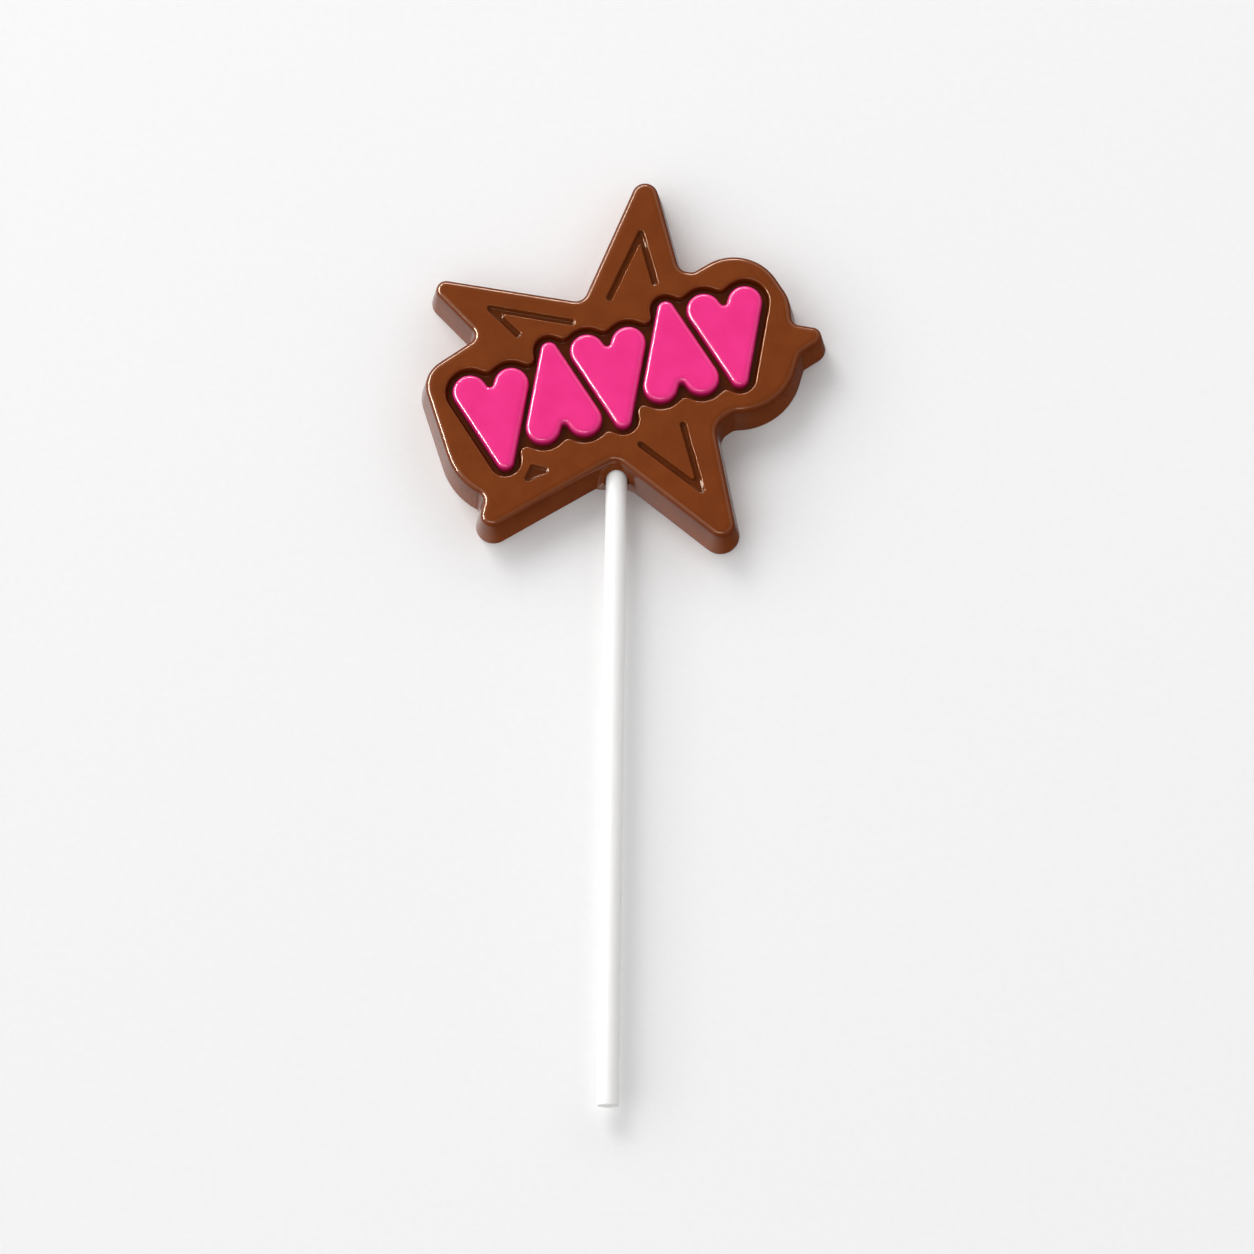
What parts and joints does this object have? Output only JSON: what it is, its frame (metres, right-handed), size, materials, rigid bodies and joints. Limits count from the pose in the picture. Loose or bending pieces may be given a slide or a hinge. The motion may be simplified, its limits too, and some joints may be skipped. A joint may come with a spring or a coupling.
{
  "type": "chocolate lollipop",
  "caption": "Milk chocolate lollipop: an uneven five-armed star with a row of plump pink hearts set in a recess across it, on a straight white paper stick.",
  "frame": {"origin": "centre of the star on the flat back face that the lollipop lies on", "axes": "+Z out of the moulded face, +Y from the stick towards the top arm, +X to the right of the moulded face"},
  "size_m": [0.0757, 0.1755, 0.0093],
  "materials": {
    "milk_chocolate": "satin moulded milk chocolate",
    "pink_chocolate": "glossy tinted chocolate",
    "stick_paper": "matt rolled paper"
  },
  "bodies": {
    "root": {"chocolate_head": "milk_chocolate", "pink_heart_1": "pink_chocolate", "pink_heart_2": "pink_chocolate", "pink_heart_3": "pink_chocolate", "pink_heart_4": "pink_chocolate", "pink_heart_5": "pink_chocolate", "stick": "stick_paper"}
  },
  "joints": []
}
